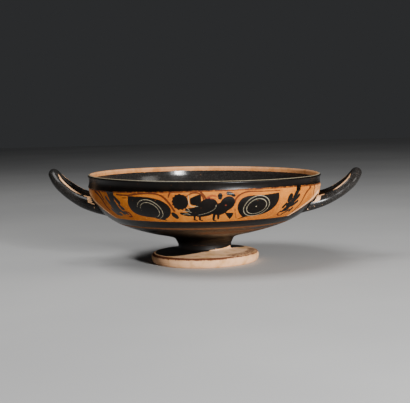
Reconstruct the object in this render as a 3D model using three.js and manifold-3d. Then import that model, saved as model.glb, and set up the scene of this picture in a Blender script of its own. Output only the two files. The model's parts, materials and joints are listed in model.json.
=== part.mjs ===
// Kylix, a shallow stemmed drinking cup of fired clay with two upswept horseshoe handles.
// Bowl, stem, foot and handles were joined while the clay was soft and fired as one piece, so the
// cup is one closed solid: wheel-thrown body plus two rolled handles luted onto the bowl.
//
// Frame: millimetres, +Z up. The origin is on the table under the middle of the rim.
// The handles lie on the X axis, and the painted fronts face -Y and +Y.

import * as THREE from "three";
import { mergeVertices } from "three/addons/utils/BufferGeometryUtils.js";
import Module from "manifold-3d";

// Rim and lip
const rimRadius = 102.2;
const rimHeight = 78.0;
const lipFootHeight = 67.2;
const lipHollow = 0.9;
const offsetStep = 0.7;
const lipThickness = 3.4;

// Bowl, stem and foot
const wallThickness = 3.8;
const floorThickness = 6.0;
const stemRadius = 23.4;
const stemFootHeight = 11.6;
const filletHeight = 17.2;
const footRadius = 47.6;
const footEdgeTop = 8.5;
const restingRadius = 45.3;
const recessRadius = 35.0;
const recessDepth = 14.0;

// Handles
const handleReach = 138.3;
const handleTipHeight = 77.6;
const handleRadius = 4.8;
const rootHalfSpacing = 21.5;
const rootSwell = 1.6;
const swellFrom = 10.0;
const swellTo = 40.0;

// The bowl sagged a little in the kiln: it tilts and shifts above the stem, while the foot stays flat.
const rimTilt = THREE.MathUtils.degToRad(1.15);
const footShift = -1.2;
const sagFrom = 20.0;
const sagTo = 72.0;

// Fineness of the facets
const turnSteps = 60;
const handleSteps = 28;
const handleHalfSides = 6;

const wasm = await Module();
wasm.setup();

function point(r, z) {
  return new THREE.Vector2(r, z);
}

// Outside of the body, from the table up to the rim
function outerProfile() {
  const footEdge = new THREE.SplineCurve([
    point(restingRadius, 0),
    point(footRadius - 0.9, 1.3),
    point(footRadius, 4.6),
    point(footRadius - 0.7, 7.5),
    point(footRadius - 2.2, footEdgeTop),
  ]);
  const footTop = new THREE.QuadraticBezierCurve(
    point(footRadius - 2.2, footEdgeTop),
    point(34, 9.9),
    point(stemRadius + 1.2, stemFootHeight),
  );
  const fillet = [
    point(stemRadius, stemFootHeight + 1.2),
    point(stemRadius + 0.1, filletHeight - 0.8),
    point(stemRadius + 0.9, filletHeight),
    point(stemRadius + 1.0, filletHeight + 0.8),
  ];
  const underside = new THREE.SplineCurve([
    point(stemRadius + 1.6, filletHeight + 1.6),
    point(27.2, 21.8),
    point(36.0, 24.7),
    point(51.0, 28.2),
    point(68.7, 33.7),
    point(80.6, 39.2),
    point(90.0, 46.0),
    point(96.5, 53.0),
    point(100.4, 60.0),
    point(rimRadius - offsetStep + 0.2, lipFootHeight - 0.6),
  ]);
  const lip = new THREE.QuadraticBezierCurve(
    point(rimRadius, lipFootHeight + 0.2),
    point(rimRadius - 2 * lipHollow, (lipFootHeight + rimHeight) / 2),
    point(rimRadius, rimHeight - 1.4),
  );
  return [
    ...footEdge.getPoints(5),
    ...footTop.getPoints(3).slice(1),
    ...fillet,
    ...underside.getPoints(13),
    ...lip.getPoints(3),
  ];
}

// Rounded top edge, from the outside of the lip to its inside
function rimEdge() {
  const half = lipThickness / 2;
  const edge = [];
  for (const angle of [30, 65, 100, 135, 160]) {
    const turn = THREE.MathUtils.degToRad(angle);
    edge.push(point(rimRadius - half + half * Math.cos(turn), rimHeight - 1.4 + 1.4 * Math.sin(turn)));
  }
  return edge;
}

// Inside of the bowl, from below the rim down to the middle of the floor; grow widens the space
function innerProfile(grow) {
  const inside = new THREE.SplineCurve([
    point(rimRadius - lipThickness + grow, rimHeight - 2),
    point(rimRadius - lipThickness + 0.1 + grow, lipFootHeight + 1),
    point(100.4 - wallThickness + grow, 60.8 - grow / 2),
    point(92.4 + grow, 53.2 - grow / 2),
    point(84.8 + grow / 2, 46.6 - grow),
    point(68.0, 38.8 - grow),
    point(48.0, 27.0 + floorThickness - 0.4 - grow),
    point(24.0, 22.6 + floorThickness - grow),
    point(0, 21.6 + floorThickness - grow),
  ]);
  return inside.getPoints(12);
}

// Hollow under the foot, from the middle down to the resting ring
function recessProfile() {
  const hollow = new THREE.SplineCurve([
    point(0, recessDepth),
    point(9, recessDepth - 1.6),
    point(19, 7.2),
    point(29, 2.6),
    point(recessRadius - 0.6, 0.7),
  ]);
  return [...hollow.getPoints(5), point(recessRadius, 0)];
}

function latheSolid(profile) {
  return toSolid(new THREE.LatheGeometry(profile, turnSteps).rotateX(Math.PI / 2));
}

// Horseshoe handle, rolled clay that swells towards its two roots, on +X before its turn about Z
function handleSolid(turn) {
  const tip = handleReach - handleRadius;
  const half = [
    [78.0, rootHalfSpacing + 1.5, 48.6],
    [86.0, rootHalfSpacing + 1.0, 50.6],
    [94.5, rootHalfSpacing, 52.6],
    [104.0, rootHalfSpacing - 1.5, 55.2],
    [113.0, rootHalfSpacing - 4.5, 59.2],
    [121.3, rootHalfSpacing - 8, 64.6],
    [128.6, rootHalfSpacing - 12.4, 70.9],
  ];
  const points = [
    ...half.map(([x, y, z]) => new THREE.Vector3(x, -y, z)),
    new THREE.Vector3(tip, 0, handleTipHeight),
    ...half.reverse().map(([x, y, z]) => new THREE.Vector3(x, y, z)),
  ];
  const path = new THREE.CatmullRomCurve3(points, false, "centripetal");
  const section = new THREE.Shape().absarc(0, 0, handleRadius, 0, 2 * Math.PI);
  const tube = new THREE.ExtrudeGeometry(section, {
    steps: handleSteps,
    curveSegments: handleHalfSides,
    bevelEnabled: false,
    extrudePath: path,
  });
  return toSolid(swell(tube, path).rotateZ(turn));
}

// Moves each point of the tube out from the nearest point of its path, more so near both ends
function swell(tube, path) {
  const centres = path.getSpacedPoints(handleSteps);
  const length = path.getLength();
  const position = tube.getAttribute("position");
  const vertex = new THREE.Vector3();
  for (let i = 0; i < position.count; i += 1) {
    vertex.fromBufferAttribute(position, i);
    let nearest = 0;
    centres.forEach((centre, k) => {
      if (vertex.distanceTo(centre) < vertex.distanceTo(centres[nearest])) {
        nearest = k;
      }
    });
    const fromEnd = Math.min(nearest, handleSteps - nearest) * (length / handleSteps);
    const fullness = 1 - THREE.MathUtils.smoothstep(fromEnd, swellFrom, swellTo);
    const centre = centres[nearest];
    vertex.sub(centre).multiplyScalar(1 + (rootSwell / handleRadius) * fullness).add(centre);
    position.setXYZ(i, vertex.x, vertex.y, vertex.z);
  }
  return tube;
}

function toSolid(geometry) {
  geometry.deleteAttribute("normal");
  geometry.deleteAttribute("uv");
  const merged = mergeVertices(geometry, 1e-3);
  return new wasm.Manifold(new wasm.Mesh({
    numProp: 3,
    vertProperties: new Float32Array(merged.getAttribute("position").array),
    triVerts: new Uint32Array(merged.index.array),
  }));
}

function toGeometry(solid) {
  const mesh = solid.getMesh();
  const geometry = new THREE.BufferGeometry();
  geometry.setAttribute("position", new THREE.BufferAttribute(new Float32Array(mesh.vertProperties), 3));
  geometry.setIndex(new THREE.BufferAttribute(new Uint32Array(mesh.triVerts), 1));
  return geometry;
}

// Tilts and shifts everything above the stem, and leaves the foot flat on the table
function sag(geometry) {
  const position = geometry.getAttribute("position");
  for (let i = 0; i < position.count; i += 1) {
    const x = position.getX(i);
    const z = position.getZ(i);
    const share = THREE.MathUtils.smoothstep(z, sagFrom, sagTo);
    position.setX(i, x + footShift * (1 - share));
    position.setZ(i, z - x * Math.tan(rimTilt * share));
  }
  return geometry;
}

const body = latheSolid([...recessProfile(), ...outerProfile(), ...rimEdge(), ...innerProfile(0)]);
const bowlSpace = latheSolid([
  ...innerProfile(wallThickness / 2).reverse(),
  point(rimRadius - wallThickness / 2, rimHeight + 20),
  point(0, rimHeight + 20),
]);
const handles = handleSolid(0).add(handleSolid(Math.PI)).subtract(bowlSpace);
const cup = body.add(handles);

const kylix = new THREE.Mesh(
  sag(toGeometry(cup)),
  new THREE.MeshStandardMaterial({ color: 0x17130f, roughness: 0.35, metalness: 0 }),
);
kylix.name = "kylix";

const group = new THREE.Group();
group.add(kylix);

export default group;
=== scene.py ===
# %% [markdown]
# # A painted drinking cup, a kylix
# A kylix is a shallow, stemmed drinking cup of fired clay. A potter threw the bowl and the foot on a
# wheel, rolled two handles and pressed them on, and a painter drew on it in a clay slip that fires to
# a black gloss. This lesson loads the CAD model as a frame, turns a finer cup over it, and then paints
# it with numbers stored on its points.

# %% Load the frame
import json
import math

import bpy
import numpy as np
from mathutils import Matrix, Vector

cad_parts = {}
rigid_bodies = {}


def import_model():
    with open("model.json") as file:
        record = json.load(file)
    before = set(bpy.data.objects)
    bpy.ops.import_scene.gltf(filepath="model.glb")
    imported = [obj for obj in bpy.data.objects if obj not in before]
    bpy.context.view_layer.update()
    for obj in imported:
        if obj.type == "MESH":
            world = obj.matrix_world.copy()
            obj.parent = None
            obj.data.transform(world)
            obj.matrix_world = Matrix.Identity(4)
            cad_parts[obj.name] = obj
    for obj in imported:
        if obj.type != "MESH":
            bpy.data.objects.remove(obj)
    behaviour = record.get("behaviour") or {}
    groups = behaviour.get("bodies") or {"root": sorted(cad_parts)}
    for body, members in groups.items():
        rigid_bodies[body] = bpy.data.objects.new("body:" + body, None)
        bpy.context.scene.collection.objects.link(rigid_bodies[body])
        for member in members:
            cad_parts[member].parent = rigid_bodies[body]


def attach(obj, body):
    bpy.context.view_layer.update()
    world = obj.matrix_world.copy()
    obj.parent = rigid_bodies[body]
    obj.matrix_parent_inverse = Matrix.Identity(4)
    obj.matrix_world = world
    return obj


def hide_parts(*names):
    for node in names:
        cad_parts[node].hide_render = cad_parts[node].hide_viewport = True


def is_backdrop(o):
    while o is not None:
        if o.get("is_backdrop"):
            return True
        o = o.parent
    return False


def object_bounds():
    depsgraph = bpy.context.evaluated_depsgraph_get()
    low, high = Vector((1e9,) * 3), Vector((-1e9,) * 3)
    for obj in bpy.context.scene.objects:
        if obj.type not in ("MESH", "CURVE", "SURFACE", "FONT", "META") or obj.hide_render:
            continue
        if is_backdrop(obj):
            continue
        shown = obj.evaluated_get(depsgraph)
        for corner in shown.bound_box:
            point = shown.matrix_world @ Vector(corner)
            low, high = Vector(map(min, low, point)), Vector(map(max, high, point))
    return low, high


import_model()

bpy.ops.object.select_all(action="DESELECT")
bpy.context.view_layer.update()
MM = 0.001

# %% [markdown]
# ## The camera
# The picture was taken from about 0.9 m away, a little above the rim, with a long lens, and the camera
# leaned slightly to one side. A long lens from far away keeps the ellipses of rim and foot flat, so the
# distance was worked out from those ellipses and the lens from the width of the cup.

# %% Camera
camera_turn = math.radians(2.5)
camera_distance = 0.909
camera_height = 0.136
camera_pitch = math.radians(5.24)
camera_lean = math.radians(-1.6)
camera_lens = 90.6

bpy.ops.object.camera_add(location=(
    math.sin(camera_turn) * camera_distance,
    -math.cos(camera_turn) * camera_distance,
    camera_height,
))
camera = bpy.context.object
camera.name = "camera"
camera.data.sensor_width = 36
camera.data.lens = camera_lens
camera.rotation_euler = (
    Matrix.Rotation(camera_turn, 3, "Z")
    @ Matrix.Rotation(math.pi / 2 - camera_pitch, 3, "X")
    @ Matrix.Rotation(camera_lean, 3, "Z")
).to_euler()
bpy.context.scene.camera = camera
print("camera stands", round(camera.location.length, 3), "m from the cup")

# %% [markdown]
# ## Floor and light
# The cup stands on a plain pale floor. Black gloss shows mostly what it mirrors, so the light matters
# as much as the paint. A soft lamp on the right shapes the clay, and a wide one above the left side
# opens the shadows. A small bright one in front at the right is mirrored in the far wall of the
# inside, where it looks like a window.

# %% Floor, lamps and sky
bpy.ops.mesh.primitive_plane_add(size=6, location=(0, 0, 0))
floor = bpy.context.object
floor.name = "floor"
floor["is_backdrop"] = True

white, warm_white = (1.0, 1.0, 1.0), (1.0, 0.96, 0.90)
for name, place, aim, size, watts, tint in (
    ("key lamp", (1.15, -0.42, 0.60), (0.0, 0.0, 0.04), (0.40, 0.40), 4.5, warm_white),
    ("window lamp", (0.625, -1.016, 0.235), (0.0, 0.05, 0.06), (0.11, 0.18), 29.0, white),
    ("top lamp", (-0.38, -0.12, 1.05), (0.0, 0.0, 0.06), (0.60, 0.60), 9.0, white),
):
    bpy.ops.object.light_add(type="AREA", location=place)
    lamp = bpy.context.object
    lamp.name = name
    lamp.data.shape = "RECTANGLE"
    lamp.data.size, lamp.data.size_y = size
    lamp.data.energy = watts
    lamp.data.color = tint
    lamp.rotation_euler = (Vector(aim) - lamp.location).to_track_quat("-Z", "Y").to_euler()

sky = bpy.data.worlds.new("soft room")
bpy.context.scene.world = sky
sky.use_nodes = True
background = sky.node_tree.nodes["Background"]
background.inputs["Color"].default_value = (0.60, 0.62, 0.65, 1)
background.inputs["Strength"].default_value = 0.05

# %% [markdown]
# ## The outline of the wheel-thrown body
# A thrown pot is round, so half of its section says everything: foot, stem, bowl, offset lip, rim and
# inside. It could be drawn by hand or shaped from a cylinder with many cuts. Here the section is put
# together from two kinds of smooth curve, one that runs through its points and one that is pulled
# towards a point, as in the CAD model.

# %% Section curves
def smooth_curve(knots, count):
    """Points along a smooth curve through the knots."""
    knots = np.array(knots, float)
    last = len(knots) - 1
    places = np.linspace(0, last, count)
    start = np.minimum(places.astype(int), last - 1)
    part = (places - start)[:, None]
    before, after = np.maximum(start - 1, 0), np.minimum(start + 2, last)
    a, b = knots[start], knots[start + 1]
    va, vb = (b - knots[before]) / 2, (knots[after] - a) / 2
    return (2 * a - 2 * b + va + vb) * part**3 + (3 * b - 3 * a - 2 * va - vb) * part**2 + va * part + a


def bend_curve(first, pull, last, count):
    """Points from first to last, bent towards pull."""
    part = np.linspace(0, 1, count)[:, None]
    first, pull, last = (np.array(p, float) for p in (first, pull, last))
    return first * (1 - part)**2 + pull * 2 * part * (1 - part) + last * part**2


def step_lengths(points):
    return np.hypot(*np.diff(points, axis=0).T)


arch = smooth_curve([(0, 0), (1, 1), (2, 0)], 9)
print("length of a small arch:", round(float(step_lengths(arch).sum()), 2))

# %% [markdown]
# ## Sizes of the body
# The named sizes, in mm, are those of the CAD model, so the two agree and only the number of points
# differs. Each point of the section is a distance from the axis and a height above the table. The wall
# has many points, because it is measured along its length, and the mesh takes only some of them.

# %% Section of foot, stem and wall
rim_radius, rim_height, lip_foot_height = 102.2, 78.0, 67.2
lip_thickness, lip_hollow, lip_edge, offset_step = 3.4, 0.9, 1.4, 0.7
wall_thickness, floor_thickness = 3.8, 6.0
stem_radius, stem_foot_height, fillet_height = 23.4, 11.6, 17.2
foot_radius, foot_edge_top, resting_radius = 47.6, 8.5, 45.3
recess_radius, recess_depth = 35.0, 14.0

foot_corner = (foot_radius - 2.2, foot_edge_top)
foot_edge = smooth_curve([
    (resting_radius, 0), (foot_radius - 0.9, 1.3), (foot_radius, 4.6), (foot_radius - 0.7, 7.5),
    foot_corner,
], 13)
foot_top = bend_curve(foot_corner, (34, 9.9), (stem_radius + 1.2, stem_foot_height), 10)
fillet = [
    (stem_radius + 0.3, stem_foot_height + 0.5), (stem_radius, stem_foot_height + 1.2),
    (stem_radius + 0.05, fillet_height - 2.6), (stem_radius + 0.1, fillet_height - 1.3),
    (stem_radius + 0.2, fillet_height - 0.8), (stem_radius + 0.6, fillet_height - 0.4),
    (stem_radius + 0.9, fillet_height), (stem_radius + 1.0, fillet_height + 0.8),
]
wall = np.vstack([
    smooth_curve([
        (stem_radius + 1.6, fillet_height + 1.6), (27.2, 21.8), (36, 24.7), (51, 28.2), (68.7, 33.7),
        (80.6, 39.2), (90, 46), (96.5, 53), (100.4, 60),
        (rim_radius - offset_step + 0.2, lip_foot_height - 0.6),
    ], 900),
    bend_curve(
        (rim_radius, lip_foot_height + 0.2),
        (rim_radius - 2 * lip_hollow, (lip_foot_height + rim_height) / 2),
        (rim_radius, rim_height - lip_edge),
        200,
    ),
])
wall_length = np.concatenate([[0], np.cumsum(step_lengths(wall))])
print("outer wall", round(wall_length[-1], 1), "mm long")

# %% [markdown]
# ## Rows where the painting needs them
# The painting is stored on the points of the mesh, so the frieze needs rows close together, while stem
# and foot don't. The wall is therefore measured out anew: wide rows below the frieze, narrow ones in
# it, and a few above. Up the wall counts from the foot of the frieze in mm.

# %% Rows of the section
frieze_foot_height = 44.4
frieze_low, frieze_high = -1.0, 33.2
frieze_foot = np.interp(frieze_foot_height, wall[:, 1], wall_length)


def up_the_wall(ups):
    at = np.asarray(ups) + frieze_foot
    return np.stack([np.interp(at, wall_length, wall[:, k]) for k in (0, 1)], axis=1)


rows_below = up_the_wall(np.linspace(-frieze_foot, frieze_low, 34)[:-1])
rows_frieze = up_the_wall(np.linspace(frieze_low, frieze_high, 21))
rows_above = up_the_wall(np.linspace(frieze_high, wall_length[-1] - frieze_foot, 5)[1:])
print("frieze begins", round(frieze_foot, 1), "mm up the wall")

# %% [markdown]
# ## Rim, inside and hollow foot
# The rim is a half ellipse over the edge of the wall. The inside follows the outside at the thickness
# of the wall, and the foot is hollowed from below, as a potter trims it once the clay is leather hard.

# %% The whole section
rim_turn = np.radians(np.linspace(15, 165, 10))[:, None]
rim_edge = np.hstack([
    rim_radius - lip_thickness / 2 * (1 - np.cos(rim_turn)),
    rim_height - lip_edge + lip_edge * np.sin(rim_turn),
])
inside = smooth_curve([
    (rim_radius - lip_thickness, rim_height - 2), (98.6, 72.8), (98.05, 68.8), (95.9, 60.8), (92.1, 53.2),
    (84.8, 46.6), (68, 38.8), (48, 26.6 + floor_thickness), (24, 22.6 + floor_thickness),
    (0, 21.6 + floor_thickness),
], 41)
hollow = smooth_curve([
    (0, recess_depth), (9, recess_depth - 1.6), (19, 7.2), (29, 2.6), (recess_radius - 0.6, 0.7),
], 11)
section = np.vstack([
    hollow, [(recess_radius, 0)], foot_edge, foot_top[1:], fillet,
    rows_below, rows_frieze, rows_above, rim_edge, inside,
])
print("section points:", len(section))

# %% [markdown]
# ## Throwing the body
# One point is pushed from section point to section point with extrude, which leaves a line of edges,
# and spin then carries that line once around, as the wheel does. Spin leaves a seam where the turn
# closes and many points on the axis, so the doubles are merged before the faces are turned outwards.

# %% Turn a section into a closed body
def thrown(name, points, steps):
    bpy.ops.mesh.primitive_plane_add(size=1, location=(0, 0, 0))
    turned = bpy.context.object
    turned.name = name
    bpy.ops.object.mode_set(mode="EDIT")
    bpy.ops.mesh.select_mode(type="VERT")
    bpy.ops.mesh.select_all(action="SELECT")
    bpy.ops.mesh.merge(type="CENTER")
    points = [(float(r) * MM, float(z) * MM) for r, z in points]
    bpy.ops.transform.translate(value=(points[0][0], 0, points[0][1]))
    for (r0, z0), (r1, z1) in zip(points, points[1:]):
        bpy.ops.mesh.extrude_region_move(TRANSFORM_OT_translate={"value": (r1 - r0, 0, z1 - z0)})
    bpy.ops.mesh.select_all(action="SELECT")
    bpy.ops.mesh.spin(steps=steps, angle=2 * math.pi, center=(0, 0, 0), axis=(0, 0, 1))
    bpy.ops.mesh.select_all(action="SELECT")
    bpy.ops.mesh.remove_doubles(threshold=0.00002)
    bpy.ops.mesh.normals_make_consistent(inside=False)
    bpy.ops.object.mode_set(mode="OBJECT")
    return turned


wheel_steps = 300
cup = thrown("painted_cup", section, wheel_steps)
print("thrown body:", len(cup.data.vertices), "points")

# %% [markdown]
# ## Points as numbers
# Rounding, painting and sagging are sums over all points at once, so the points are read from the mesh
# as one table in mm and written back the same way.

# %% Read and write the points as numpy arrays, in mm
def read_points(piece):
    flat = np.empty(len(piece.data.vertices) * 3)
    piece.data.vertices.foreach_get("co", flat)
    return flat.reshape(-1, 3) / MM


def write_points(piece, points):
    piece.data.vertices.foreach_set("co", (points * MM).ravel())
    piece.data.update()


def radii(points):
    """How far out each point lies, and how far out the wall is at its height."""
    return np.hypot(points[:, 0], points[:, 1]), np.interp(points[:, 2], wall[:, 1], wall[:, 0])


print("widest point:", round(float(radii(read_points(cup))[0].max()), 1), "mm from the axis")

# %% [markdown]
# ## A finer skin for the frieze
# Subdivide cuts each face of the frieze into nine, without touching the rest. The new points lie on
# straight chords between the old ones, so each is moved out to the true round wall.

# %% Subdivide the frieze and round it
low_z, high_z = np.interp(np.array([frieze_low, frieze_high]) + frieze_foot, wall_length, wall[:, 1])


def in_frieze(points, off_wall, past_edge):
    radius, wall_radius = radii(points)
    between_edges = (points[:, 2] > low_z - past_edge) & (points[:, 2] < high_z + past_edge)
    return (np.abs(radius - wall_radius) < off_wall) & between_edges


chosen = set(np.flatnonzero(in_frieze(read_points(cup), 0.3, 0.05)).tolist())
for parts in (cup.data.polygons, cup.data.edges):
    for part in parts:
        part.select = all(v in chosen for v in part.vertices)
for vertex in cup.data.vertices:
    vertex.select = vertex.index in chosen
bpy.ops.object.mode_set(mode="EDIT")
bpy.ops.mesh.select_mode(type="FACE")
bpy.ops.mesh.subdivide(number_cuts=2)
bpy.ops.object.mode_set(mode="OBJECT")

points = read_points(cup)
radius, wall_radius = radii(points)
on_wall = in_frieze(points, 0.5, 0.1)
points[on_wall, :2] *= (wall_radius / np.maximum(radius, 1e-6))[on_wall, None]
write_points(cup, points)
print("with its frieze:", len(cup.data.vertices), "points")

# %% [markdown]
# ## The handles
# Each handle is one roll of clay bent to a horseshoe, a little thicker where it was pressed on. A tube
# along a curve is the plainest way to make it: the curve's points carry a radius, and converting it to
# a mesh gives the roll. The path first: it is the CAD model's own, through the points of one half and
# their mirror image.

# %% Path of a handle
root_half_spacing, handle_tip, handle_tip_height = 21.5, 133.5, 77.6
half_path = [
    (78.0, root_half_spacing + 1.5, 48.6), (86.0, root_half_spacing + 1.0, 50.6),
    (94.5, root_half_spacing, 52.6), (104.0, root_half_spacing - 1.5, 55.2),
    (113.0, root_half_spacing - 4.5, 59.2), (121.3, root_half_spacing - 8, 64.6),
    (128.6, root_half_spacing - 12.4, 70.9),
]


def centripetal_curve(knots, count):
    """Points along a curve whose bends stay even where the knots are uneven."""
    knots = np.array(knots, float)
    knots = np.vstack([2 * knots[0] - knots[1], knots, 2 * knots[-1] - knots[-2]])
    gaps = np.sqrt(np.linalg.norm(np.diff(knots, axis=0), axis=1))
    along = []
    for place in np.linspace(0, len(knots) - 3, count):
        i = min(int(place), len(knots) - 4)
        p, (g0, g1, g2) = knots[i:i + 4], gaps[i:i + 3]
        v1 = ((p[1] - p[0]) / g0 - (p[2] - p[0]) / (g0 + g1) + (p[2] - p[1]) / g1) * g1
        v2 = ((p[2] - p[1]) / g1 - (p[3] - p[1]) / (g1 + g2) + (p[3] - p[2]) / g2) * g1
        t = place - i
        along.append(
            (2 * p[1] - 2 * p[2] + v1 + v2) * t**3
            + (3 * p[2] - 3 * p[1] - 2 * v1 - v2) * t**2 + v1 * t + p[1]
        )
    return np.array(along)


path_points = 97
handle_path = centripetal_curve(
    [(x, -y, z) for x, y, z in half_path]
    + [(handle_tip, 0, handle_tip_height)]
    + [(x, y, z) for x, y, z in reversed(half_path)],
    path_points,
)
print("handle path:", len(handle_path), "points")

# %% [markdown]
# ## Rolls of clay
# The roll swells towards both ends by a smooth ease. It is made a trace thinner than the CAD model's,
# whose flat sides cut a little inside its circle, so that it stays within the same box. The second
# handle is a half turn of the first.

# %% Thickness and rolls
handle_radius, root_swell, swell_from, swell_to = 4.8, 1.6, 10, 40
roundness_allowance = 0.984


def ease(x, low, high):
    """Rises smoothly from 0 at low to 1 at high."""
    t = np.clip((x - low) / (high - low), 0, 1)
    return t * t * (3 - 2 * t)


path_steps = np.linalg.norm(np.diff(handle_path, axis=0), axis=1)
path_length = np.concatenate([[0], np.cumsum(path_steps)])
from_end = np.minimum(path_length, path_length[-1] - path_length)
swelling = root_swell * (1 - ease(from_end, swell_from, swell_to))
handle_thickness = roundness_allowance * handle_radius + swelling


def rolled(name, turned):
    bpy.ops.curve.primitive_nurbs_path_add(location=(0, 0, 0))
    roll = bpy.context.object
    roll.name = name
    roll.data.splines.clear()
    line = roll.data.splines.new("POLY")
    line.points.add(len(handle_path) - 1)
    for spot, (x, y, z), r in zip(line.points, handle_path, handle_thickness):
        spot.co = (x * turned * MM, y * turned * MM, z * MM, 1)
        spot.radius = float(r)
    roll.data.bevel_depth = MM
    roll.data.bevel_resolution = 10
    roll.data.use_fill_caps = True
    bpy.ops.object.convert(target="MESH")
    roll = bpy.context.object
    bpy.ops.object.mode_set(mode="EDIT")
    bpy.ops.mesh.select_all(action="SELECT")
    bpy.ops.mesh.remove_doubles(threshold=0.00001)
    bpy.ops.mesh.normals_make_consistent(inside=False)
    bpy.ops.object.mode_set(mode="OBJECT")
    return roll


handles = [rolled("right_handle", 1), rolled("left_handle", -1)]
roll_points = [len(handle.data.vertices) for handle in handles]
print("handle rolls", round(path_length[-1], 1), "mm long, points:", roll_points)

# %% [markdown]
# ## Pressing the handles on
# The rolls reach a little into the wall, as they do on a real pot, but must not come out inside the
# bowl. So the space of the bowl, widened by half of the wall, is cut from them first, and then body
# and handles are joined into one skin with a boolean union.

# %% Cut and join
def combine(piece, other, how):
    bpy.ops.object.select_all(action="DESELECT")
    piece.select_set(True)
    bpy.context.view_layer.objects.active = piece
    join = piece.modifiers.new(how.lower(), "BOOLEAN")
    join.operation = how
    join.solver = "MANIFOLD"
    join.object = other
    bpy.ops.object.modifier_apply(modifier=join.name)


half_wall = wall_thickness / 2
space_floor = floor_thickness - half_wall
space_top = rim_height + 20
bowl_space = thrown("bowl_space", np.vstack([
    smooth_curve([
        (0, 21.6 + space_floor), (24, 22.6 + space_floor), (48, 26.6 + space_floor), (68, 38.8 - half_wall),
        (84.8 + half_wall / 2, 46.6 - half_wall), (92.4 + half_wall, 53.2 - half_wall / 2),
        (96.6 + half_wall, 60.8 - half_wall / 2), (98.9 + half_wall, 68.2), (98.8 + half_wall, 76),
    ], 30),
    [(rim_radius - half_wall, space_top), (0, space_top)],
]), 120)
for handle in handles:
    combine(handle, bowl_space, "DIFFERENCE")
    reach = np.hypot(*read_points(handle).T[:2])
    print("handle reaches from", round(float(reach.min()), 1), "to", round(float(reach.max()), 1), "mm")
for handle in handles:
    combine(cup, handle, "UNION")
for helper in handles + [bowl_space]:
    bpy.data.objects.remove(helper)
print("joined cup:", len(cup.data.vertices), "points,", len(cup.data.polygons), "faces")

# %% [markdown]
# ## Measuring the surface
# A painter sees the bowl as a strip: how far round from the middle of a front, and how far up from the
# foot of the frieze. Each point gets those two numbers, before the bowl sags. Both fronts are painted
# alike, so the back counts from its own middle. Height and distance from the axis tell which part of
# the cup a point is on, and points off the body belong to a handle.

# %% Round and up for every point
points = read_points(cup)
x, y, z = points.T
radius, outer_radius = radii(points)
turn = np.arctan2(x, -y)
frieze_radius = 97.0
across = ((turn + math.pi / 2) % math.pi - math.pi / 2) * frieze_radius
up = np.interp(z, wall[:, 1], wall_length) - frieze_foot
inner_radius = np.interp(z, inside[::-1, 1], inside[::-1, 0])

skin = 0.25
fillet_top, inside_low, handles_low = fillet_height + 1.5, 27.5, 40
outside_high, inside_high = rim_height - 1.3, rim_height - 1.9
strip_low, strip_high = -3, 34
hollow_height = np.interp(radius, hollow[:, 0], hollow[:, 1])
on_outside = (z > fillet_top) & (np.abs(radius - outer_radius) < skin) & (z < outside_high)
on_inside = (z > inside_low) & (radius < inner_radius + 0.3) & (z < inside_high)
on_handle = (z > handles_low) & (radius > outer_radius + skin)
on_hollow = (radius < recess_radius + 0.1) & (z < hollow_height + 0.6)
on_foot = (z < fillet_top) & ~on_hollow
on_rim = ~(on_outside | on_inside | on_handle | on_hollow | on_foot)
in_strip = np.flatnonzero(on_outside & (up > strip_low) & (up < strip_high))
strip = np.stack([across[in_strip], up[in_strip]], axis=1)
print("points:", {name: int(zone.sum()) for name, zone in {
    "outside": on_outside, "inside": on_inside, "handles": on_handle,
    "foot": on_foot, "hollow": on_hollow, "rim": on_rim,
}.items()}, "and in the strip:", len(strip))

# %% [markdown]
# ## A brush made of distances
# For each mark the distance in mm from a point to the mark's edge is worked out, more than zero inside
# the paint and less outside. Distances blend well: the largest of several joins the marks, a little
# added to one makes it that much fuller all round, and the shader can later roughen the edge, which a
# plain yes or no doesn't allow. Three kinds of mark are enough: a blot, a stroke whose width changes,
# and a filled outline.

# %% Marks on the strip
stroke_pieces, outline_pieces = 5, 6


def blot(centre, size, lean=0.0):
    """An oval of half sizes size, its long side leaning by lean degrees."""
    c, s = math.cos(math.radians(lean)), math.sin(math.radians(lean))
    away = strip - centre
    u, v = away @ (c, s), away @ (-s, c)
    near = np.hypot(u / size[0], v / size[1])
    steep = np.hypot(u / size[0]**2, v / size[1]**2)
    return near * (1 - near) / np.maximum(steep, 1e-4)


def ring(centre, size, lean, width):
    return width / 2 - np.abs(blot(centre, size, lean))


def from_segment(a, b):
    """Each point's distance from the line from a to b, and how far along the line it lies."""
    along = b - a
    part = np.clip((strip - a) @ along / max(along @ along, 1e-9), 0, 1)
    return np.linalg.norm(strip - a - part[:, None] * along, axis=1), part


def stroke(knots, first_width, last_width=None):
    """A brush stroke along a smooth line; its width runs from the first to the last."""
    last_width = first_width if last_width is None else last_width
    line = np.array(knots, float)
    if len(knots) > 2:
        line = smooth_curve(knots, stroke_pieces * (len(knots) - 1) + 1)
    widths = np.linspace(first_width, last_width, len(line))
    best = np.full(len(strip), -9.0)
    for a, b, wa, wb in zip(line, line[1:], widths, widths[1:]):
        gap, part = from_segment(a, b)
        best = np.maximum(best, (wa + (wb - wa) * part) / 2 - gap)
    return best


def filled(*sides):
    """The inside of an outline made of smooth sides that meet in corners."""
    line = np.vstack([smooth_curve(side, outline_pieces * (len(side) - 1) + 1)[:-1] for side in sides])
    nearest = np.full(len(strip), 99.0)
    within = np.zeros(len(strip), bool)
    for a, b in zip(line, np.roll(line, -1, axis=0)):
        nearest = np.minimum(nearest, from_segment(a, b)[0])
        crosses = (a[1] > strip[:, 1]) != (b[1] > strip[:, 1])
        rise = b[1] - a[1] if abs(b[1] - a[1]) > 1e-9 else 1e-9
        within ^= crosses & (strip[:, 0] < a[0] + (strip[:, 1] - a[1]) * (b[0] - a[0]) / rise)
    return np.where(within, nearest, -nearest)


def together(*marks):
    return np.maximum.reduce(marks)


print("points to paint on:", len(strip))

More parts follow.
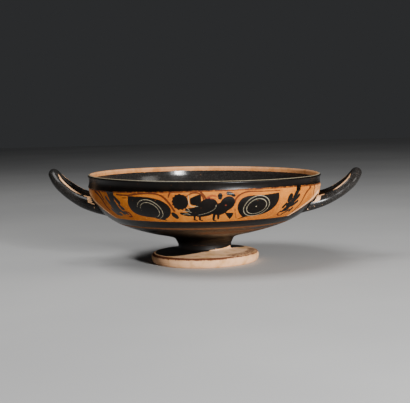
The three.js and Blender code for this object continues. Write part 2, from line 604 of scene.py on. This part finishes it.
# %% [markdown]
# ## The eyes
# Large eyes look out from both fronts of such a cup. Each is a black almond that ends in a tear duct,
# with two thin pale rings as its iris and a brow drawn above in thinned slip. A pale dot marks one
# pupil. A painter's left and right eye never match, so each has its own outline of few points, and the
# rings of the left one fade on its shaded side.

# %% Eyes, rings and brows
left_eye = together(
    filled(
        [
            (-59.6, 25.2), (-46.0, 25.2), (-37.6, 24.6), (-29.6, 22.4), (-24.0, 18.0), (-23.0, 13.4),
            (-25.4, 7.6), (-30.8, 3.0),
        ],
        [(-30.8, 3.0), (-40.6, 5.1), (-49.1, 6.3), (-57.2, 9.4), (-60.8, 15.7), (-59.6, 25.2)],
    ),
    stroke([(-38.0, 4.8), (-29.4, 2.2)], 1.8, 1.0),
)
right_eye = together(
    filled(
        [(37.0, 4.6), (32.4, 10.2), (29.8, 16.8), (32.2, 23.3), (38.9, 26.0), (49.1, 26.0), (65.4, 27.4)],
        [(65.4, 27.4), (65.8, 21.7), (64.0, 15.2), (58.9, 9.3), (51.5, 6.3), (42.3, 5.4), (37.0, 4.6)],
    ),
    stroke([(38.6, 5.6), (33.2, 2.6)], 1.7, 0.9),
)
left_iris, right_iris = (-41.4, 13.2), (46.4, 15.8)
fading_way, fading_length = (-0.60, -0.80), 9
fading = 0.35 * ease((strip - left_iris) @ fading_way / fading_length, 0.1, 0.9)
rings = together(
    ring(left_iris, (11.4, 9.4), -26, 0.56) - fading,
    ring(left_iris, (8.5, 7.2), -28, 0.50) - fading,
    ring(right_iris, (11.2, 9.8), 18, 0.58),
    ring(right_iris, (8.6, 7.3), 18, 0.54),
    blot((45.8, 16.3), (0.6, 0.5)),
)
brows = together(
    stroke([
        (-72, 25.8), (-60, 25.8), (-50, 27.4), (-40, 28.4), (-31.5, 27.4), (-26.3, 23.9), (-22.6, 18.9),
        (-20.2, 13.4),
    ], 1.1, 1.7),
    stroke([(-66, 23.4), (-61, 23.8)], 0.8, 0.5),
    stroke([(27.1, 20.6), (28.4, 24.4), (32.2, 27.9), (38.5, 29.6), (49.1, 29.4), (66, 29.2)], 1.5, 0.7),
)
eyes = together(left_eye, right_eye)
print("black of the eyes covers", round(float((eyes > 0).mean()) * 100), "% of the strip")

# %% [markdown]
# ## Birds and fillers
# Between the eyes two plump birds stand on the ground line before a round bush and a square seat. They
# are put together from blots and strokes, as a quick painter would, with no line copied. Pale scratches
# set off a wing and a tail, and drops and leaves fill the gaps.

# %% Birds, bush, seat and fillers
bush_turns = np.arctan2(strip[:, 1] - 21.4, strip[:, 0] + 15.0)
bush = together(
    blot((-15.0, 21.4), (5.8, 6.6)) + 0.4 * np.sin(bush_turns * 13),
    stroke([(-10.6, 26.0), (-9.0, 21.5), (-10.0, 17.4)], 1.2, 0.6),
)
seat = filled(
    [(-6.4, 19.6), (-6.9, 22.0), (-6.7, 24.6)], [(-6.7, 24.6), (-2.8, 26.4), (0.9, 28.2)],
    [(0.9, 28.2), (1.3, 23.6), (0.5, 19.6)], [(0.5, 19.6), (-3.0, 19.0), (-6.4, 19.6)],
)
first_bird = together(
    blot((3.4, 12.9), (9.8, 5.5), 14),
    blot((8.2, 19.2), (5.4, 5.9), 60),
    stroke([(-1.0, 14.6), (5.0, 20.6)], 7.0, 6.0),
    stroke([(-2.5, 13.6), (-9.6, 14.2)], 6.5, 3.2),
    stroke([(-3.0, 10.4), (-9.0, 9.6), (-14.6, 10.8)], 5.0, 2.2),
    stroke([(6.6, 23.8), (7.4, 25.4)], 2.0, 0.8),
    stroke([(-4.2, 9.0), (-4.4, 3.4)], 1.4, 1.1),
    stroke([(-4.6, 3.2), (-2.2, 1.8)], 1.1, 0.7),
    stroke([(0.2, 8.4), (0.1, 3.0)], 1.5, 1.1),
    stroke([(0.1, 3.0), (2.4, 1.6)], 1.1, 0.7),
)
second_bird = together(
    blot((21.4, 19.6), (6.7, 5.3), 55),
    blot((17.6, 14.4), (6.6, 4.3), 48),
    stroke([(13.4, 12.0), (16.0, 18.6)], 4.6, 4.0),
    stroke([(12.2, 11.6), (11.7, 4.4), (12.1, 1.8)], 1.9, 1.3),
    stroke([(12.1, 1.9), (14.2, 1.0)], 1.1, 0.6),
    stroke([(15.2, 10.6), (15.7, 3.8)], 1.9, 1.1),
)
fillers = together(
    blot((15.8, 26.3), (2.6, 1.6), 88),
    stroke([(22.0, 28.6), (24.2, 28.2), (26.4, 26.6)], 2.7, 2.0),
    filled(
        [(20.8, 10.8), (24.0, 10.6), (27.4, 10.4)], [(27.4, 10.4), (27.0, 6.4), (25.6, 3.4)],
        [(25.6, 3.4), (23.2, 6.8), (20.8, 10.8)],
    ),
    blot((-20.4, 8.2), (3.9, 2.0), -62),
)
scratches = together(
    stroke([(-8.2, 27.2), (-8.0, 20.6), (-5.6, 17.8), (-1.0, 18.0)], 0.66),
    stroke([(13.2, 19.6), (11.6, 14.9), (5.6, 11.0), (-1.2, 8.9)], 0.58),
    stroke([(-13.0, 12.6), (-9.6, 13.2), (-6.4, 11.8)], 0.65),
    stroke([(-13.6, 9.4), (-10.6, 10.6), (-7.6, 9.4)], 0.65),
    stroke([(-9.9, 16.6), (-7.8, 13.8)], 0.6),
)
red_marks = together(
    stroke([(6.4, 25.2), (9.6, 26.9), (12.6, 26.2)], 1.9, 1.5),
    stroke([(8.6, 24.4), (12.4, 24.2)], 0.9, 0.7),
    blot((20.4, 18.6), (0.8, 0.6)),
)
tendrils = together(
    stroke([(-22.2, 30.0), (-23.8, 25.4)], 1.5, 0.7),
    stroke([(-9.4, 26.4), (-5.6, 29.0), (-0.4, 29.0), (2.6, 26.0), (3.6, 21.4)], 1.0),
    stroke([(0.4, 31.0), (3.4, 27.2), (5.4, 23.4)], 1.2),
    stroke([(28.1, 14.9), (29.4, 9.0), (31.2, 4.0)], 0.6, 0.4),
)
figures = together(bush, seat, first_bird, second_bird, fillers) + 0.25
print("black of the figures covers", round(float((figures > 0).mean()) * 100), "% of the strip")

# %% [markdown]
# ## Palmettes beside the handles
# A palmette is a fan of petals on a stalk, the usual ornament next to a handle. Each petal is one
# stroke from the heart of the fan outwards, and curling tendrils in thinned slip surround it.

# %% Palmettes
right_palmette = together(
    stroke([(88.6, 32.0), (86.4, 27.5), (83.6, 22.6), (81.4, 17.6)], 5.2, 2.6),
    blot((78.2, 21.8), (4.0, 2.5), 70),
    stroke([(89.2, 23.6), (84.0, 18.8)], 2.2, 2.6),
    stroke([(88.8, 17.8), (84.2, 14.2)], 2.4, 2.4),
    blot((80.6, 15.4), (4.4, 3.2), 10),
    stroke([(86.6, 10.8), (85.8, 7.0)], 2.4, 1.4),
    stroke([(75.4, 17.0), (73.6, 13.4)], 1.8, 2.6),
    blot((78.6, 10.9), (3.4, 2.6), 20),
    stroke([(83.4, 9.0), (80.4, 6.4)], 2.2, 1.4),
    stroke([(76.8, 8.4), (73.4, 8.0)], 1.6, 1.0),
    stroke([(79.0, 5.6), (77.4, 2.8)], 1.6, 1.0),
)
left_palmette = together(
    stroke([(-85.6, 31.0), (-83.4, 26.5), (-81.0, 21.9), (-80.4, 17.0)], 2.0, 2.6),
    stroke([(-80.0, 31.0), (-78.4, 26.0), (-78.9, 20.0), (-81.4, 14.2)], 4.4, 4.6),
    stroke([(-87.2, 22.6), (-83.2, 17.6)], 1.8, 2.6),
    stroke([(-74.9, 23.2), (-71.1, 19.2)], 1.8, 3.2),
    stroke([(-76.6, 18.6), (-75.0, 12.6)], 2.6, 3.2),
    stroke([(-71.8, 16.6), (-69.2, 13.4)], 1.8, 3.0),
    blot((-78.6, 12.0), (4.4, 3.2)),
    stroke([(-74.2, 11.8), (-71.2, 8.6)], 3.0, 3.0),
    blot((-78.4, 6.8), (3.4, 1.8)),
    stroke([(-85.2, 11.6), (-82.0, 6.8)], 2.2, 2.6),
    stroke([(-69.2, 9.6), (-66.6, 7.6)], 2.0, 1.2),
)
palmette_tendrils = together(
    stroke([(76.4, 9.6), (72.8, 7.8), (72.6, 4.6), (75.6, 3.2)], 1.2, 0.9),
    stroke([
        (106.7, 29.6), (100.4, 25.6), (96.6, 21.2), (95.4, 16.0), (93.6, 10.6), (92.0, 6.0),
    ], 1.5, 1.0),
    stroke([(116.8, 31.0), (114.8, 26.6), (114.4, 21.6)], 1.5, 1.0),
    stroke([(-106.4, 26.0), (-100.4, 24.2), (-94.4, 20.0), (-92.8, 15.6), (-90.6, 10.6)], 1.5, 1.2),
    stroke([(-103.0, 28.6), (-96.0, 25.6), (-91.4, 20.4)], 1.2, 0.8),
    stroke([(-67.6, 10.4), (-64.4, 9.4), (-63.8, 5.4), (-67.2, 4.6)], 1.3, 0.9),
)
motifs = together(eyes, figures, right_palmette + 0.22, left_palmette + 0.3)
thin_lines = together(brows, tendrils, palmette_tendrils + 0.25)
print("black marks cover", round(float((motifs > 0).mean()) * 100), "% of the strip")

# %% [markdown]
# ## Bands and inside
# While the cup turned on the wheel the painter held the brush still, which gives the black lip, the
# bands below the frieze and the black inside. Clay was left bare in thin lines, just inside the rim,
# and in a small ring on the floor of the bowl. Below each handle a black field follows its root, and
# left of the middle the underside is black up to the second band. Beyond a few mm all distances look
# the same to the shader, so they are cut off there.

# %% Gloss on the turned surfaces
def band(where, low, high):
    """More than zero where a measure lies between low and high."""
    return np.minimum(where - low, high - where)


far_off = 4.0
gloss = np.full(len(points), -far_off)
side = np.degrees(turn)

# Outside: lip, ground band, second band, black underside and the field below each handle
lip_line = np.interp(
    across, [-120, -80, -30, 0, 30, 80, 120], [27.6, 27.9, 29.7, 31.0, 31.7, 31.8, 30.7],
)
root_knots = smooth_curve([
    (88, -6), (93, 1), (100, 7.5), (107, 12.5), (117.5, 17.5), (124, 21.0), (135, 20.0), (144, -6),
], 41)
root_line = np.interp(np.abs(across), root_knots[:, 0], root_knots[:, 1])
ground_low, second_low, second_high, underside_top = -11.3, -22.0, -14.6, -33.0
handle_field_from, root_gap = 88, 1.3
gloss_outside = together(
    up - lip_line,
    band(up, ground_low, 0),
    band(up, second_low, second_high),
    underside_top - up,
    np.minimum.reduce([root_line - root_gap - up, up - ground_low, np.abs(across) - handle_field_from]),
    np.minimum(second_high - up, (-2 - side) / 16),
)
gloss[on_outside] = gloss_outside[on_outside]
gloss[in_strip] = np.maximum(gloss[in_strip], motifs)
gloss[on_rim] = (radius - 100.4)[on_rim]

# Inside: black, but for a bare edge below the rim and a ring round a dot on the floor
inside_marks = np.minimum(together(radius - 12.0, band(radius, 3.2, 8.6)), 74.0 - z)
inside_marks = together(inside_marks, 1.4 - radius)
gloss[on_inside] = inside_marks[on_inside]
print("black outside:", round(float((gloss_outside[on_outside] > 0).mean()) * 100), "%")

# %% [markdown]
# ## Gloss on the foot
# The foot's top is black where the painter's brush reached and bare towards one side, where the black
# has come away up to the stem. A thin line is left bare round the top of the stem, and the hollow
# below has one broad band and a dot.

# %% Black and bare parts of the foot
bare_from = np.interp(
    side,
    [-180, -80, -60, -40, -22, -8, 2, 10, 70, 95, 115, 135, 180],
    [47, 47, 45, 42, 33.5, 28, 25, 22, 22, 28, 38, 47, 47],
)
foot_marks = np.minimum.reduce([44.6 - radius, z - 8.2, bare_from - radius])
stem_marks = together(z - 11.8 - 0.03 * side, (12 - side) * 0.4, (side - 76) * 0.4)
foot_marks = np.where(radius < stem_radius + 1.2, np.minimum(stem_marks, 2.0), foot_marks)
stem_line = np.abs(z - 16.6) - 0.08 + 0.06 * np.maximum(np.abs(side + 8) - 14, 0)
foot_marks = np.minimum(foot_marks, stem_line)
gloss[on_foot] = foot_marks[on_foot]
hollow_marks = together(band(radius, 14, 30), 2.2 - radius)
gloss[on_hollow] = hollow_marks[on_hollow]
print("black on the foot:", round(float((foot_marks[on_foot] > 0).mean()) * 100), "%")

# %% [markdown]
# ## Paint on the handles
# A handle is black, but for a bare streak where it was held, above on the side of the bowl, and a bare
# patch where its root meets the wall. For each point the nearest spot of the handle's path is found,
# and the angle between the way to the point and the way up to the rim says how far from the streak it
# lies.

# %% Inner and outer sides of the handles
spots = np.flatnonzero(on_handle)
half_turn = np.where(x[spots] < 0, -1.0, 1.0)
near_handle = points[spots] * np.stack([half_turn, half_turn, np.ones_like(half_turn)], axis=1)
gaps = np.linalg.norm(near_handle[:, None, :] - handle_path[None, ::2, :], axis=2)
nearest = gaps.argmin(axis=1) * 2
run = np.gradient(handle_path, axis=0)[nearest]
run /= np.linalg.norm(run, axis=1)[:, None]


def square_to_run(direction):
    flat = direction - (direction * run).sum(axis=1)[:, None] * run
    return flat / np.maximum(np.linalg.norm(flat, axis=1), 1e-6)[:, None]


lean_in, lean_apart, lean_up = -0.75, 0.35, 0.6
inwards = square_to_run(np.stack([
    np.full(len(spots), lean_in),
    lean_apart * np.tanh(near_handle[:, 1] / 8),
    np.full(len(spots), lean_up),
], axis=1))
outwards = square_to_run(near_handle - handle_path[nearest])
inner_angle = np.arccos(np.clip((inwards * outwards).sum(axis=1), -1, 1))
handle_end = from_end[nearest]
streak_from = np.where(half_turn > 0, 34, 28)
streak_angle = 19 * ease(handle_end, streak_from, streak_from + 8) * (1 - ease(handle_end, 56, 68))
root_patch_angle = 62 * (1 - ease(handle_end, 19, 29))
bare_angle = np.maximum(streak_angle, root_patch_angle)
handle_sides = (inner_angle - np.radians(bare_angle)) * handle_thickness[nearest]
gloss[spots] = handle_sides
print("handle points:", len(spots))

# %% [markdown]
# ## Wear
# Gloss comes off where hands, tables and soil have rubbed: along the rim, on the underside of the bowl
# at one side, and in spots at the roots of the handles. How much is missing is one more number per
# point, and the shader breaks it up with noise, so that it ends in flakes and not in a line.

# %% How much gloss is worn
def around(middle_angle, half_width, soft):
    """One near a direction round the cup, falling to none over soft degrees."""
    away = np.abs((side - middle_angle + 180) % 360 - 180)
    return 1 - ease(away, half_width, half_width + soft)


low_band = on_outside & (up < -12) & (up > -36)
worn = np.full(len(points), 0.035)
worn = np.where(on_rim, 0.06, worn)
worn = np.where(low_band, 0.08 + 0.26 * around(60, 50, 40), worn)
worn[spots] = 0.04 + 0.07 * (1 - ease(handle_end, 16, 30))
print("worn most:", round(float(worn.max()), 2))

# %% [markdown]
# ## Shades of the bare clay
# The clay isn't one colour all over. Below the frieze and on the stem, in the shade under the bowl, it is
# darkened with painted shade; on the foot, the handles and along the handles' roots it is pale as
# biscuit, and the rim lies between. One number says how pale, and less than zero says how dark the
# painted shade is.

# %% How pale the clay is, and where painted shade darkens it
shaded_side = 0.45 * ease(np.abs(across), 104, 124) * ease(up, 8, 20)
root_edge = on_outside & (np.abs(up - root_line - 0.9) < 1.5) & (up > -2)
tone = np.zeros(len(points))
for where, pale_or_painted_shade in (
    # Below zero is painted shade for the underside of the bowl and the stem, in the shade under the bowl.
    (on_outside & (up < -8), -0.8),
    (on_outside & (up < -20), -1.0),
    (on_outside & (up > 0), shaded_side),
    (on_inside & (z > 40), 0.42),
    (on_rim, 0.55),
    (on_foot, np.where(z > 15, -1.0, 0.85)),
    (on_foot & (z > 8.8) & (z < 12) & (radius < 44), 1.15),
    (on_hollow, 0.6),
    (on_handle, 1.15),
    (root_edge, 1.0),
):
    tone = np.where(where, pale_or_painted_shade, tone)
print("palest:", round(float(tone.max()), 2), "dullest:", round(float(tone.min()), 2))

# %% [markdown]
# ## Thin slip and the layers on the points
# Where the slip was thin it fired brown: in the brows and tendrils, just under the lip, along the edge
# of the foot and round the streaks on the handles. With that the last layer is known, and each layer is
# stored on the points of the cup by a name that the material reads.

# %% Store the layers
def on_strip(marks):
    everywhere = np.full(len(points), -far_off)
    everywhere[in_strip] = np.clip(marks, -far_off, far_off)
    return everywhere


under_lip = 0.36 - np.abs(up - lip_line + 0.5)
thinned = on_strip(thin_lines)
thinned[on_outside] = np.maximum(thinned, under_lip)[on_outside]
foot_line = 0.10 + 0.30 * around(-25, 40, 25) - 0.4 * np.abs(z - 8.0)
thinned = np.maximum(thinned, np.where(on_foot & (radius > 44.2), foot_line, -far_off))
foot_specks = on_foot & (side > 30) & (side < 105) & (radius > 37) & (radius < 45.0) & (z > 8.3)
thinned = np.maximum(thinned, np.where(foot_specks, -0.04, -far_off))
beside_streak = (bare_angle > 3) & (handle_end > 28)
streak_edge = np.where(beside_streak, 0.30 - np.abs(handle_sides - 0.1), -far_off)
thinned[spots] = np.maximum(thinned[spots], streak_edge)

pale_paint_and_rim_highlight = on_strip(together(rings, scratches - 0.06))
# On the rim the pale layer is a painted highlight: a thin light line along its top.
pale_paint_and_rim_highlight[on_rim] = 0.46 - np.abs(radius - 101.1)[on_rim]

for name, values in {
    "gloss": np.clip(gloss, -far_off, far_off),
    "pale": pale_paint_and_rim_highlight,
    "red": on_strip(red_marks),
    "worn": worn,
    "tone": tone,
    "thinned": np.clip(thinned, -far_off, far_off),
    "film": np.where(on_handle | on_inside, 0.36, 0.0),
    "rubbed": np.select([on_handle, on_inside, on_foot, low_band], [0.06, -0.01, 0.38, 0.16], 0.14),
}.items():
    stored = cup.data.attributes.new(name, "FLOAT", "POINT")
    stored.data.foreach_set("value", values.astype(np.float32))
print("layers:", [a.name for a in cup.data.attributes if a.data_type == "FLOAT"])

# %% [markdown]
# ## Sagging in the kiln
# The real bowl sits a little askew on its stem: it tilts by about a degree and stands a millimetre to
# one side. The painting went on before the firing, so it is measured on the straight cup first, and the
# sag moves all points last, by the same sums as in the CAD model.

# %% Sag
rim_tilt = math.radians(1.15)
foot_shift, sag_from, sag_to = -1.2, 20, 72
sagged = ease(z, sag_from, sag_to)
write_points(cup, np.stack([x + foot_shift * (1 - sagged), y, z - x * np.tan(rim_tilt * sagged)], axis=1))

bpy.ops.object.select_all(action="DESELECT")
cup.select_set(True)
bpy.context.view_layer.objects.active = cup
bpy.ops.object.shade_smooth_by_angle(angle=math.radians(40))
print("cup spans", [round(float(v), 1) for v in np.ptp(read_points(cup), axis=0)], "mm")

# %% [markdown]
# ## Building a material
# A material is a chain of small nodes. One helper adds a node, sets its options and sockets and links
# what feeds it, so that each line below reads as one step. Colours are written as they look on a
# screen and turned to the linear values that light is summed in.

# %% Helpers for nodes and colours
def linear(hex_colour):
    channels = [int(hex_colour[i:i + 2], 16) / 255 for i in (1, 3, 5)]
    return [c / 12.92 if c <= 0.04045 else ((c + 0.055) / 1.055)**2.4 for c in channels] + [1]


def add(tree, kind, sockets, output=0, **options):
    """Adds a node; a socket takes a number, a colour or another node's output."""
    node = tree.nodes.new("ShaderNode" + kind)
    for option, value in options.items():
        setattr(node, option, value)
    for socket, value in sockets.items():
        if isinstance(value, bpy.types.NodeSocket):
            tree.links.new(value, node.inputs[socket])
        else:
            node.inputs[socket].default_value = value
    return node.outputs[output] if node.outputs else None


print("clay orange in linear light:", [round(channel, 3) for channel in linear("#a95c14")])

# %% [markdown]
# ## Noises and layers of paint
# Five noises give the clay its clouds, flakes and grain. A scale counts the patches in a metre, so they
# run from clouds of 30 mm, as on real pots, down to grains of less than 1 mm. The numbers kept on the
# points come in as eight layers. Each is turned to a share from none to all, with a soft step between
# two limits.

# %% Sources for the painted clay
clay_paint = bpy.data.materials.new("painted Attic clay with black gloss")
clay_paint.use_nodes = True
tree = clay_paint.node_tree
tree.nodes.clear()
place = add(tree, "TexCoord", {}, "Object")

noise = {}
for name, scale, detail, coarse in (
    ("broad", 35, 3, 0.55),
    ("cloud", 110, 4, 0.55),
    ("flakes", 420, 5, 0.65),
    ("speck", 900, 2, 0.60),
    ("grain", 1400, 3, 0.70),
):
    settings = {"Vector": place, "Scale": scale, "Detail": detail, "Roughness": coarse}
    noise[name] = add(tree, "TexNoise", settings)

layer = {}
for name in ("gloss", "pale", "red", "worn", "tone", "thinned", "film", "rubbed"):
    layer[name] = add(tree, "Attribute", {}, "Fac", attribute_name=name)

# Edges of the gloss and of the thinned slip are made ragged by the flakes, by so many mm.
ragged = {}
for name, reach in (("gloss", 1.1), ("thinned", 0.9)):
    shifted = add(tree, "Math", {0: noise["flakes"], 1: 0.5}, operation="SUBTRACT")
    ragged[name] = add(tree, "Math", {0: shifted, 1: reach, 2: layer[name]}, operation="MULTIPLY_ADD")

share = {}
for name, source, low, high, least, most in (
    ("patches", noise["broad"], 0.35, 0.65, 0, 1),
    ("clouds", noise["cloud"], 0.42, 0.70, 0, 0.55),
    ("light flakes", noise["flakes"], 0.48, 0.75, 0, 0.40),
    ("dark grain", noise["grain"], 0.50, 0.80, 0, 0.35),
    ("pale clay", layer["tone"], 0, 1.2, 0, 0.95),
    ("pale clouds", noise["cloud"], 0.40, 0.70, 0, 1),
    # The next two shares lay painted shade on the clay under the bowl and on the stem.
    ("painted shade", layer["tone"], 0, -1, 0, 0.90),
    ("painted shade flakes", noise["flakes"], 0.40, 0.65, 0, 1),
    ("thinned", ragged["thinned"], -0.30, 0.15, 0, 0.95),
    ("gloss", ragged["gloss"], -0.22, 0.22, 0, 1),
    ("flaked off", noise["flakes"], 0.25, 0.75, 0, 1),
    ("black clouds", noise["cloud"], 0.35, 0.75, 0, 1),
    ("film specks", noise["speck"], 0.42, 0.80, 0.11, 0.36),
    ("pale", layer["pale"], -0.18, 0.16, 0, 1),
    ("pale specks", noise["speck"], 0.28, 0.50, 0.55, 1),
    ("red", layer["red"], -0.20, 0.20, 0, 0.75),
):
    limits = {0: source, 1: low, 2: high, 3: least, 4: most}
    share[name] = add(tree, "MapRange", limits, interpolation_type="SMOOTHSTEP")
print("noises, layers and shares:", len(noise), len(layer), len(share))

# %% [markdown]
# ## Painted clay
# Attic clay is fine and full of iron: it fires to a warm orange, matt but rubbed smooth. The black is
# a film of the same clay, so fine that it sinters to a glassy skin a few hundredths of a millimetre
# thick, with an IOR near 1.5. Thinned slip fires brown, the pale lines are a dull white, and worn
# places show the clay again. The layers are mixed in the order in which they lie on the pot.

# %% Colour of the painted clay
loss = add(tree, "Math", {0: layer["worn"], 1: share["flaked off"]}, operation="SUBTRACT")
whole = add(tree, "MapRange", {0: loss, 1: -0.02, 2: 0.10, 3: 1, 4: 0}, interpolation_type="SMOOTHSTEP")
for name, first, second in (
    ("kept", share["gloss"], whole),
    ("film", layer["film"], share["film specks"]),
    ("pale paint", share["pale"], share["pale specks"]),
):
    share[name] = add(tree, "Math", {0: first, 1: second}, operation="MULTIPLY")
share["pale lines and rim highlight"] = add(tree, "Math", {0: share["pale paint"], 1: 0.75}, operation="MULTIPLY")

# Each row lays a colour, or an earlier mix, over the one before it.
colour = {}
for name, under, over, by in (
    ("clay", linear("#a95c14"), linear("#b76e22"), "patches"),
    ("clay", "clay", linear("#924a12"), "clouds"),
    ("clay", "clay", linear("#c0853f"), "light flakes"),
    ("clay", "clay", linear("#854616"), "dark grain"),
    ("chalky", linear("#e9ba90"), linear("#cb9c68"), "pale clouds"),
    # Two dark browns give the painted shade on the clay under the bowl and on the stem.
    ("clay in painted shade", linear("#4f321e"), linear("#6b4a30"), "painted shade flakes"),
    ("clay", "clay", "chalky", "pale clay"),
    ("clay", "clay", "clay in painted shade", "painted shade"),
    ("black", linear("#060403"), linear("#0e0805"), "black clouds"),
    ("black", "black", linear("#8b8885"), "film"),
    ("clay", "clay", linear("#4e1e07"), "thinned"),
    ("clay", "clay", "black", "kept"),
    # Pale lines are the eye rings and scratches, and on the rim a painted highlight.
    ("clay", "clay", linear("#a59a80"), "pale lines and rim highlight"),
    ("clay", "clay", linear("#7c3420"), "red"),
):
    under, over = (colour[tint] if isinstance(tint, str) else tint for tint in (under, over))
    parts = {0: share[by], 6: under, 7: over}
    colour[name] = add(tree, "Mix", parts, 2, data_type="RGBA")
print("nodes for the colour:", len(tree.nodes))

# %% [markdown]
# ## Shine and relief of the clay
# Bare clay is matt, with a roughness of 0.8, and the gloss is smooth, with 0.17, more where it has been
# rubbed. The relief is very low: rings left by the wheel, the thickness of the gloss and the grain.

# %% Finish of the painted clay
clouded = add(tree, "Math", {0: noise["cloud"], 1: 0.5}, operation="SUBTRACT")
rubbed = add(tree, "Math", {0: share["kept"], 1: layer["rubbed"]}, operation="MULTIPLY")
matt, glossy = 0.80, 0.17
limits = {0: share["kept"], 1: 0, 2: 1, 3: matt, 4: glossy}
roughness = add(tree, "MapRange", limits, interpolation_type="SMOOTHSTEP")
for part, weight in ((clouded, 0.12), (share["pale paint"], 0.25), (rubbed, 1.0)):
    roughness = add(tree, "Math", {0: part, 1: weight, 2: roughness}, operation="MULTIPLY_ADD")

stretched = add(tree, "Mapping", {"Vector": place, "Scale": (18, 18, 620)})
wheel_rings = add(tree, "TexNoise", {"Vector": stretched, "Scale": 1.0, "Detail": 2, "Roughness": 0.5})
height = add(tree, "Math", {0: wheel_rings, 1: 0.5}, operation="MULTIPLY")
for part, weight in ((share["kept"], 0.12), (noise["grain"], 0.10), (noise["cloud"], 0.60)):
    height = add(tree, "Math", {0: part, 1: weight, 2: height}, operation="MULTIPLY_ADD")
relief = add(tree, "Bump", {"Strength": 0.35, "Distance": 0.00035, "Height": height})

surface = add(tree, "BsdfPrincipled", {
    "Base Color": colour["clay"], "Roughness": roughness, "IOR": 1.5, "Specular IOR Level": 0.2,
    "Normal": relief,
})
add(tree, "OutputMaterial", {"Surface": surface})
cup.data.materials.clear()
cup.data.materials.append(clay_paint)
print("nodes in the painted clay:", len(tree.nodes))

# %% [markdown]
# ## A plain floor
# The floor only carries the cup and its shadow. It is a pale matt grey with the faintest cloud in it,
# so that it doesn't look like an empty page.

# %% Material: floor
floor_finish = bpy.data.materials.new("pale matt floor")
floor_finish.use_nodes = True
tree = floor_finish.node_tree
tree.nodes.clear()
place = add(tree, "TexCoord", {}, "Object")
patches = add(tree, "TexNoise", {"Vector": place, "Scale": 3, "Detail": 3, "Roughness": 0.55})
amount = add(tree, "MapRange", {0: patches, 1: 0.3, 2: 0.7}, interpolation_type="SMOOTHSTEP")
shade = add(tree, "Mix", {0: amount, 6: linear("#aeaeae"), 7: linear("#b8b8b7")}, 2, data_type="RGBA")
surface = add(tree, "BsdfPrincipled", {"Base Color": shade, "Roughness": 0.75})
add(tree, "OutputMaterial", {"Surface": surface})
floor.data.materials.append(floor_finish)
print("nodes in the floor:", len(tree.nodes))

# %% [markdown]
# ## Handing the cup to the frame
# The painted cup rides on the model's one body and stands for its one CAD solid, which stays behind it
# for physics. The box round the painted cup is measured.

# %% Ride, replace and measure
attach(cup, "root")
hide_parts("kylix")
low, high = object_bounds()
